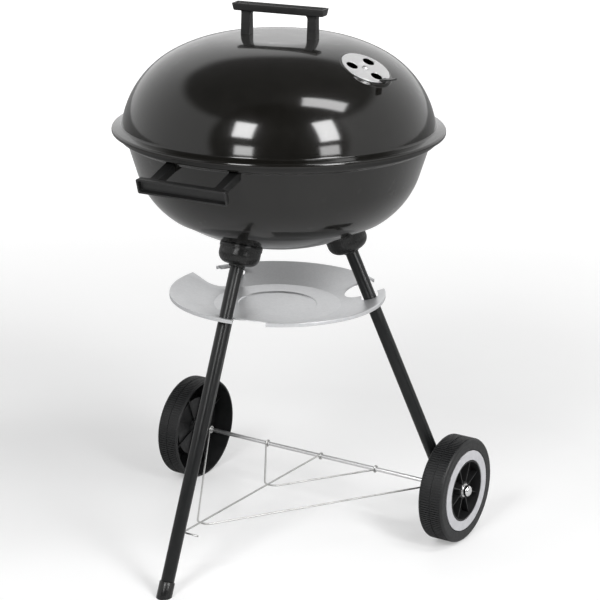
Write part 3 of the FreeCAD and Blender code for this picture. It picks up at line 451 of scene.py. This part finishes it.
def seat_place():
    """The lid's damper seat: its origin is on the dome, Z is its normal and X points downhill."""
    crown, slope = math.radians(LID_ARCS[0][1]), math.radians(SEAT_SLOPE)
    out = LID_ARCS[0][0] * math.sin(crown) + LID_ARCS[1][0] * (math.sin(slope) - math.sin(crown))
    up = LID_TOP - LID_ARCS[0][0] * (1 - math.cos(crown))
    up -= LID_ARCS[1][0] * (math.cos(crown) - math.cos(slope))
    return (turn_about("Z", SEAT_AZIMUTH) @ Matrix.Translation((out, 0, up))
            @ turn_about("Y", SEAT_TILT))


def lid_columns():
    """Directions of the lid's grid, closer together round the damper's seat."""
    steps = int(2 * SEAT_GRID_REACH / SEAT_GRID_STEP)
    fine = [SEAT_AZIMUTH - SEAT_GRID_REACH + SEAT_GRID_STEP * index for index in range(steps + 1)]
    rest = 360 - (fine[-1] - fine[0])
    coarse = [fine[-1] + rest * index / LID_REST_COLUMNS for index in range(1, LID_REST_COLUMNS)]
    return [math.radians(angle) for angle in fine + coarse]


def press_seat(vertices, outside):
    """Presses the flat seat for the damper into the dome; the first vertices are its outside."""
    place = seat_place()
    back = place.inverted()
    pressed = []
    for index, vertex in enumerate(vertices):
        local = back @ Vector(vertex)
        out = math.hypot(local.x, local.y)
        if out < SEAT_OUTER and abs(local.z) < SEAT_DEPTH:
            share = min(1.0, max(0.0, (out - SEAT_INNER) / (SEAT_OUTER - SEAT_INNER)))
            smooth = share * share * (3 - 2 * share)
            flat = -SEAT_SINK if index < outside else -SEAT_SINK - GAUGE
            local.z = local.z * smooth + flat * (1 - smooth)
            vertex = tuple(place @ local)
        pressed.append(vertex)
    return pressed


def vent_drills(place):
    """Cutters for the three vent holes and the rivet's hole about the middle of a seat."""
    drills = [drill(place @ turn_about("Z", VENT_START + 120 * index)
                    @ Matrix.Translation((VENT_CIRCLE, 0, 0)),
                    VENT_RADIUS, -DRILL_REACH, DRILL_REACH)
              for index in range(3)]
    return drills + [drill(place, RIVET_HOLE, -DRILL_REACH, DRILL_REACH)]


def make_lid():
    """The lid's sheet, in place of the CAD's, with the seat and its holes."""
    outer, inner = lid_outline()
    columns = lid_columns()
    vertices, faces = turned(outer + inner, columns)
    outside = 1 + (len(outer) - 1) * len(columns)
    mesh = closed_mesh("lid", press_seat(vertices, outside), faces)
    lid = add_object("lid", mesh, "black_enamel")
    drilled(lid, vent_drills(seat_place() @ Matrix.Translation((0, 0, -SEAT_SINK))))
    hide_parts("lid_shell")
    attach(lid, "lid")


# ---------------------------------------------------------------- the bowl

def wall_radius(height):
    """Outside radius of the bowl's conical wall at this height."""
    turn = math.radians(WALL_TURN)
    out = KNUCKLE_OUT + BOWL_KNUCKLE * math.sin(turn)
    start = KNUCKLE_UP - BOWL_KNUCKLE * math.cos(turn)
    return out + (height - start) / math.tan(turn)


def bowl_side(inset, step):
    """The bowl from its flat seat up to the wall's top, moved in by inset."""
    crown, knuckle = BOWL_CROWN - inset, BOWL_KNUCKLE - inset
    start = math.degrees(math.asin(FLAT_RADIUS / crown))
    middle = (0.0, BOWL_CROWN_MID)
    underside = arc(middle, crown, start - 90, BOWL_STEP_TURN - 90, step)
    side = arc((KNUCKLE_OUT, KNUCKLE_UP), knuckle, KNUCKLE_START - 90, WALL_TURN - 90, step)
    top = (wall_radius(WALL_TOP) - inset / math.sin(math.radians(WALL_TURN)), WALL_TOP)
    return underside, side, top


def bowl_outline():
    """The closed outline of the bowl's sheet."""
    underside, side, top = bowl_side(0.0, BOWL_OUTER_STEP)
    inner_underside, inner_side, inner_top = bowl_side(GAUGE, BOWL_INNER_STEP)
    inside = RIM_RADIUS - GAUGE
    roll_mid = inside + RIM_ROLL
    roll_start = -180 + math.degrees(math.acos((RIM_ROLL - GAUGE) / RIM_ROLL))
    step_bend = rounded([(*underside[-2], 0), (*underside[-1], STEP_BEND),
                         (*side[0], STEP_BEND), (*side[1], 0)])
    rim = rounded([
        (*side[-1], 0), (*top, WALL_TOP_BEND), (RIM_RADIUS, RIM_LOW, RIM_LOW_BEND),
        (RIM_RADIUS, RIM_ROLL_UP - RIM_ROLL, 0),
    ])
    roll = arc((roll_mid, RIM_ROLL_UP), RIM_ROLL, roll_start, 180, SMALL_STEP)
    back = rounded([
        (inside, RIM_ROLL_UP, 0), (inside, RIM_LOW + RIM_INNER_RISE, INNER_RIM_LOW_BEND),
        (*inner_top, INNER_WALL_TOP_BEND), (*inner_side[-1], 0),
    ])
    flat_inner = FLAT_RADIUS * FLAT_INNER_SHARE
    return ([(0.0, underside[0][1]), (flat_inner, underside[0][1])]
            + underside[:-2] + step_bend + side[2:-1] + rim + roll
            + back[1:] + inner_side[-2::-1] + inner_underside[::-1]
            + [(flat_inner, inner_underside[0][1]), (0.0, inner_underside[0][1])])


def make_bowl():
    """The bowl's sheet, in place of the CAD's, with the bottom vent's holes."""
    vertices, faces = turned(bowl_outline(), even_columns(BOWL_COLUMNS))
    bowl = add_object("bowl", closed_mesh("bowl", vertices, faces), "black_enamel")
    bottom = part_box("bowl_damper")[1].z
    drilled(bowl, vent_drills(Matrix.Translation((0, 0, bottom)) @ turn_about("X", 180)))
    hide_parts("bowl_shell")
    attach(bowl, "base")


# ---------------------------------------------------------------- the handles

def level(height, half_x, half_y, bend, middle_x=0.0):
    """A level rounded rectangle of points."""
    points = []
    for corner, (side_x, side_y) in enumerate(((1, 1), (-1, 1), (-1, -1), (1, -1))):
        for step in range(CORNER_STEPS + 1):
            angle = math.radians(90 * (corner + step / CORNER_STEPS))
            points.append(Vector((middle_x + side_x * (half_x - bend) + bend * math.cos(angle),
                                  side_y * (half_y - bend) + bend * math.sin(angle), height)))
    return points


def lofted(name, levels, place):
    """A closed solid through levels that have the same number of points."""
    count = len(levels[0])
    vertices = [place @ point for points in levels for point in points]
    faces = [list(range(count)), list(range(count * (len(levels) - 1), count * len(levels)))]
    for row in range(len(levels) - 1):
        for index in range(count):
            beside = (index + 1) % count
            low, high = row * count, (row + 1) * count
            faces.append([low + index, low + beside, high + beside, high + index])
    return closed_mesh(name, vertices, faces)


def bar_levels(post):
    """The handle's bar from its rounded underside to the floor of its dished top."""
    half_x, half_y = BAR_LENGTH / 2, BAR_WIDTH / 2
    levels = []
    for step in range(7):
        angle = math.radians(15 * step)
        inset = BAR_UNDER * (1 - math.sin(angle))
        levels.append(level(post + BAR_UNDER * (1 - math.cos(angle)), half_x - BAR_FLARE - inset,
                            half_y - 0.8 * BAR_FLARE - inset, BAR_BEND))
    levels.append(level(post + BAR_FULL_UP, half_x - 0.45 * BAR_FLARE, half_y - 0.4 * BAR_FLARE,
                        BAR_BEND))
    for step in range(5):
        angle = math.radians(22.5 * step)
        inset = BAR_LIP * (1 - math.cos(angle))
        levels.append(level(post + BAR_HEIGHT - BAR_LIP * (1 - math.sin(angle)),
                            half_x - inset, half_y - inset, BAR_BEND - inset))
    # The dish in millimetres: depth below the lip, how much thicker the wall is, corner bend.
    floor = BAR_DISH / MM
    dish = ((0.0, -BAR_LIP / MM, 1.9), (0.25, -0.2, 1.7), (0.7, 0.0, 1.5),
            (floor - 1.0, 0.3, 1.4), (floor - 0.3, 0.6, 1.2), (floor, 1.4, 0.9))
    for depth, thicker, bend in dish:
        inset = BAR_WALL + thicker * MM
        levels.append(level(post + BAR_HEIGHT - depth * MM, half_x - inset, half_y - inset,
                            bend * MM))
    return levels


def post_levels(post, side, seat):
    """A post from its foot on the sheet to the bar, with a flare on its inner side at the top."""
    middle = side * POST_GAP / 2
    foot = level(0.0, FOOT_WIDTH / 2, FOOT_DEPTH / 2, POST_BEND, middle)
    levels = [[Vector((point.x, point.y, seat(point.x, point.y))) for point in foot]]
    start = post - POST_FLARE_HEIGHT
    for share in (0.0, 0.25, 0.5, 0.75):
        levels.append(level(FOOT_UP + (start - FOOT_UP) * share,
                            (FOOT_WIDTH + (POST_WIDTH - FOOT_WIDTH) * share) / 2,
                            (FOOT_DEPTH + (POST_DEPTH - FOOT_DEPTH) * share) / 2,
                            POST_BEND, middle))
    for step in range(10):
        angle = math.radians(10 * step)
        reach = POST_FLARE * (1 - math.cos(angle))
        levels.append(level(start + POST_FLARE_HEIGHT * math.sin(angle), (POST_WIDTH + reach) / 2,
                            POST_DEPTH / 2 + 0.2 * reach, POST_BEND, middle - side * reach / 2))
    top = [Vector((point.x, point.y, post + POST_IN_BAR)) for point in levels[-1]]
    return levels + [top]


def make_handle(node, body, place, post, outside):
    """A moulded handle; outside tells how far outside the sheet a point is."""

    def seat(across, along):
        """Height at which a point of the foot stands just clear of the sheet."""
        low, high = FOOT_REACH
        for _ in range(30):
            middle = (low + high) / 2
            if outside(place @ Vector((across, along, middle))) < FOOT_GAP:
                low = middle
            else:
                high = middle
        return high

    handle = add_object(node.replace("_handle", "_grip"), lofted("bar", bar_levels(post), place),
                        "handle_plastic", sharp_angle=40.0)
    posts = []
    for side in (-1, 1):
        mesh = lofted("post", post_levels(post, side, seat), place)
        posts.append(bpy.data.objects.new("post", mesh))
        bpy.context.scene.collection.objects.link(posts[-1])
        joint = handle.modifiers.new("joint", "BOOLEAN")
        joint.operation = "UNION"
        joint.object = posts[-1]
        joint.solver = "EXACT"
    settle(handle, posts)
    holes = [drill(place @ Matrix.Translation((side * POST_GAP / 2, 0, 0)), SCREW_HOLE,
                   FOOT_REACH[0], SCREW_DEPTH) for side in (-1, 1)]
    drilled(handle, holes)
    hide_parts(node)
    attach(handle, body)


def make_handles():
    """The lid's handle on the crown, and the bowl's handle on the wall over the front leg."""
    lid_place = Matrix.Translation((0, 0, LID_TOP)) @ turn_about("Z", LID_HANDLE_TURN)
    crown = LID_ARCS[0][0]
    crown_mid = Vector((0, 0, LID_TOP - crown))
    make_handle("lid_handle", "lid", lid_place, LID_POST,
                lambda point: (point - crown_mid).length - crown)
    bowl_place = (turn_about("Z", BOWL_HANDLE_AZIMUTH)
                  @ Matrix.Translation((wall_radius(BOWL_HANDLE_UP), 0, BOWL_HANDLE_UP))
                  @ turn_about("Y", 180 - WALL_TURN) @ turn_about("Z", 90))
    make_handle("bowl_handle", "base", bowl_place, BOWL_POST,
                lambda point: math.hypot(point.x, point.y) - wall_radius(point.z))


# ---------------------------------------------------------------- CAD nodes that stay

# Width in millimetres of each node's broken edges.
BROKEN_EDGES = {
    "front_socket": 0.7, "right_socket": 0.7, "left_socket": 0.7, "front_leg_cap": 0.6,
    "lid_damper": 0.25, "bowl_damper": 0.25, "lid_damper_tab": 0.45, "bowl_damper_tab": 0.35,
    "ash_tray": 0.3, "front_leg": 0.2, "right_leg": 0.2, "left_leg": 0.2, "axle": 0.4,
    "lid_damper_rivet": 0.3, "bowl_damper_rivet": 0.3, "grate_brackets": 0.2,
    "right_wheel_ring": 0.25, "left_wheel_ring": 0.25, "right_hub_cap": 0.5, "left_hub_cap": 0.5,
    "rack_cross_wire": 0.3, "axle_washers": 0.15, "lid_handle_screws": 0.2,
    "bowl_handle_screws": 0.2, "leg_bolts": 0.2, "leg_plugs": 0.2,
}
WELD_REACH, EDGE_ANGLE = 0.002 * MM, math.radians(40)


def dress_cad_nodes():
    """Gives each CAD node its finish and, where BROKEN_EDGES lists it, broken edges."""
    for row in frame["record"]["subparts"]:
        item = frame["nodes"][row["node"]]
        item.data.materials.clear()
        item.data.materials.append(MATERIALS[row["material_slot"]])
        if row["node"] in BROKEN_EDGES:
            weld = item.modifiers.new("weld", "WELD")
            weld.merge_threshold = WELD_REACH
            bevel = item.modifiers.new("broken_edges", "BEVEL")
            bevel.width = BROKEN_EDGES[row["node"]] * MM
            bevel.segments = 2
            bevel.limit_method = "ANGLE"
            bevel.angle_limit = EDGE_ANGLE
            bevel.harden_normals = True


# ---------------------------------------------------------------- the studio

CAMERA_TARGET = Vector((10.4, 41.9, 335.8)) * MM
CAMERA_DISTANCE = 3.1
CAMERA_AZIMUTH, CAMERA_ELEVATION, CAMERA_ROLL = 32.26, 17.19, 0.67
CAMERA_LENS = 132.9

# The room's dark front: its middle, its soft edge in degrees from there, its share of full light.
FRONT_AZIMUTH, FRONT_ELEVATION = 33.0, 20.0
FRONT_EDGE, FRONT_SHARE = (54, 46), 0.04
# The room's dim ceiling: its soft edge in degrees above the horizon, its share of full light.
CEILING_EDGE, CEILING_SHARE = (38, 46), 0.13

# The floor's half width, and the distances and strengths between which its glow grows.
FLOOR_REACH = 60.0
GLOW_START, GLOW_END, GLOW_NEAR, GLOW_FAR = 0.6, 3.0, 0.30, 0.95

# Softboxes: name, target, azimuth, elevation, width, height, power, roll. The targets are the
# places on the dome where their reflections show.
SOFTBOX_DISTANCE = 2.4
DOME_LEFT, DOME_RIGHT = (0.071, -0.189, 0.630), (0.156, -0.129, 0.629)
DOME_HIGH = (0.143, -0.114, 0.659)
SOFTBOXES = (
    ("window_left", DOME_LEFT, 4.0, 35.0, 0.62, 0.74, 30, 0.0),
    ("window_right", DOME_RIGHT, 72.0, 33.0, 0.62, 0.98, 38, 0.0),
    ("sill_left", DOME_LEFT, 7.5, 11.5, 0.58, 0.44, 10, 0.0),
    ("sill_right", DOME_RIGHT, 70.0, 11.0, 0.62, 0.44, 9, 0.0),
    ("skylight", DOME_HIGH, 94.0, 60.9, 1.15, 0.48, 21, -54.0),
)


def direction(azimuth, elevation):
    """Unit vector to that azimuth, from -Y towards +X, and elevation in degrees."""
    turn, lift = math.radians(azimuth), math.radians(elevation)
    return Vector((math.sin(turn) * math.cos(lift), -math.cos(turn) * math.cos(lift),
                   math.sin(lift)))


def aimed(back, roll):
    """Rotation of a camera or light that looks against back, rolled in degrees."""
    return (-back).to_track_quat("-Z", "Y").to_matrix().to_4x4() @ turn_about("Z", roll)


def make_camera():
    """The camera at the photograph's viewing angle."""
    data = bpy.data.cameras.new("camera")
    data.lens = CAMERA_LENS
    camera = bpy.data.objects.new("camera", data)
    back = direction(CAMERA_AZIMUTH, CAMERA_ELEVATION)
    camera.rotation_mode = "QUATERNION"
    camera.matrix_world = (Matrix.Translation(CAMERA_TARGET + back * CAMERA_DISTANCE)
                           @ aimed(back, CAMERA_ROLL))
    bpy.context.scene.collection.objects.link(camera)
    bpy.context.scene.camera = camera


def softbox(name, target, azimuth, elevation, width, height, power, roll):
    """A rectangular soft light that looks at target from that direction."""
    data = bpy.data.lights.new(name, "AREA")
    data.shape = "RECTANGLE"
    data.size, data.size_y = width, height
    data.energy = power
    light = bpy.data.objects.new(name, data)
    back = direction(azimuth, elevation)
    light.location = Vector(target) + back * SOFTBOX_DISTANCE
    light.rotation_mode = "QUATERNION"
    light.rotation_quaternion = aimed(back, roll).to_quaternion()
    bpy.context.scene.collection.objects.link(light)


def make_floor():
    """A plain pale floor that brightens with distance, so that it meets the room unseen."""
    mesh = bpy.data.meshes.new("floor")
    corners = [(across * FLOOR_REACH, along * FLOOR_REACH, 0)
               for across, along in ((-1, -1), (1, -1), (1, 1), (-1, 1))]
    mesh.from_pydata(corners, [], [(0, 1, 2, 3)])
    floor = bpy.data.objects.new("floor", mesh)
    paint = Finish("floor", Roughness=0.6)
    paint.vary_color(paint.noise(3.0), (0.57, 0.57, 0.57), (0.59, 0.59, 0.59))
    distance = paint.node("ShaderNodeVectorMath", operation="LENGTH")
    paint.link(paint.place, distance.inputs[0])
    glow = map_range(paint.tree, distance.outputs["Value"], GLOW_START, GLOW_END,
                     GLOW_NEAR, GLOW_FAR)
    seen = paint.node("ShaderNodeMath", operation="MULTIPLY")
    paint.link(paint.node("ShaderNodeLightPath").outputs["Is Camera Ray"], seen.inputs[0])
    paint.link(glow, seen.inputs[1])
    paint.link(seen.outputs["Value"], paint.shader.inputs["Emission Strength"])
    paint.shader.inputs["Emission Color"].default_value = (1.0, 1.0, 1.0, 1.0)
    mesh.materials.append(paint.material)
    bpy.context.scene.collection.objects.link(floor)


def make_world():
    """A white room with a dim ceiling and a dark front, plain white where it is seen directly."""
    world = bpy.data.worlds.new("studio")
    world.use_nodes = True
    tree = world.node_tree
    background = tree.nodes["Background"]

    def dimmed(source, start, end, share):
        """Full light that falls smoothly to share as source goes from start to end."""
        return map_range(tree, source, start, end, 1.0, share, interpolation_type="SMOOTHSTEP")

    outward = new_node(tree, "ShaderNodeTexCoord").outputs["Generated"]
    towards = new_node(tree, "ShaderNodeVectorMath", operation="DOT_PRODUCT")
    towards.inputs[1].default_value = direction(FRONT_AZIMUTH, FRONT_ELEVATION)
    tree.links.new(outward, towards.inputs[0])
    front = dimmed(towards.outputs["Value"],
                   *[math.cos(math.radians(angle)) for angle in FRONT_EDGE], FRONT_SHARE)
    height = new_node(tree, "ShaderNodeSeparateXYZ")
    tree.links.new(outward, height.inputs["Vector"])
    ceiling = dimmed(height.outputs["Z"],
                     *[math.sin(math.radians(angle)) for angle in CEILING_EDGE], CEILING_SHARE)
    room = new_node(tree, "ShaderNodeMath", operation="MULTIPLY")
    tree.links.new(front, room.inputs[0])
    tree.links.new(ceiling, room.inputs[1])
    seen = new_node(tree, "ShaderNodeLightPath").outputs["Is Camera Ray"]
    mix = new_node(tree, "ShaderNodeMix", data_type="FLOAT")
    tree.links.new(seen, mix.inputs[0])
    tree.links.new(room.outputs["Value"], mix.inputs[2])
    mix.inputs[3].default_value = 1.0
    background.inputs["Color"].default_value = (1.0, 1.0, 1.0, 1.0)
    tree.links.new(mix.outputs[0], background.inputs["Strength"])
    bpy.context.scene.world = world
    bpy.context.scene.view_settings.view_transform = "Standard"


def make_studio():
    make_world()
    make_floor()
    make_camera()
    for row in SOFTBOXES:
        softbox(*row)


dress_cad_nodes()
make_lid()
make_bowl()
make_handles()
make_studio()
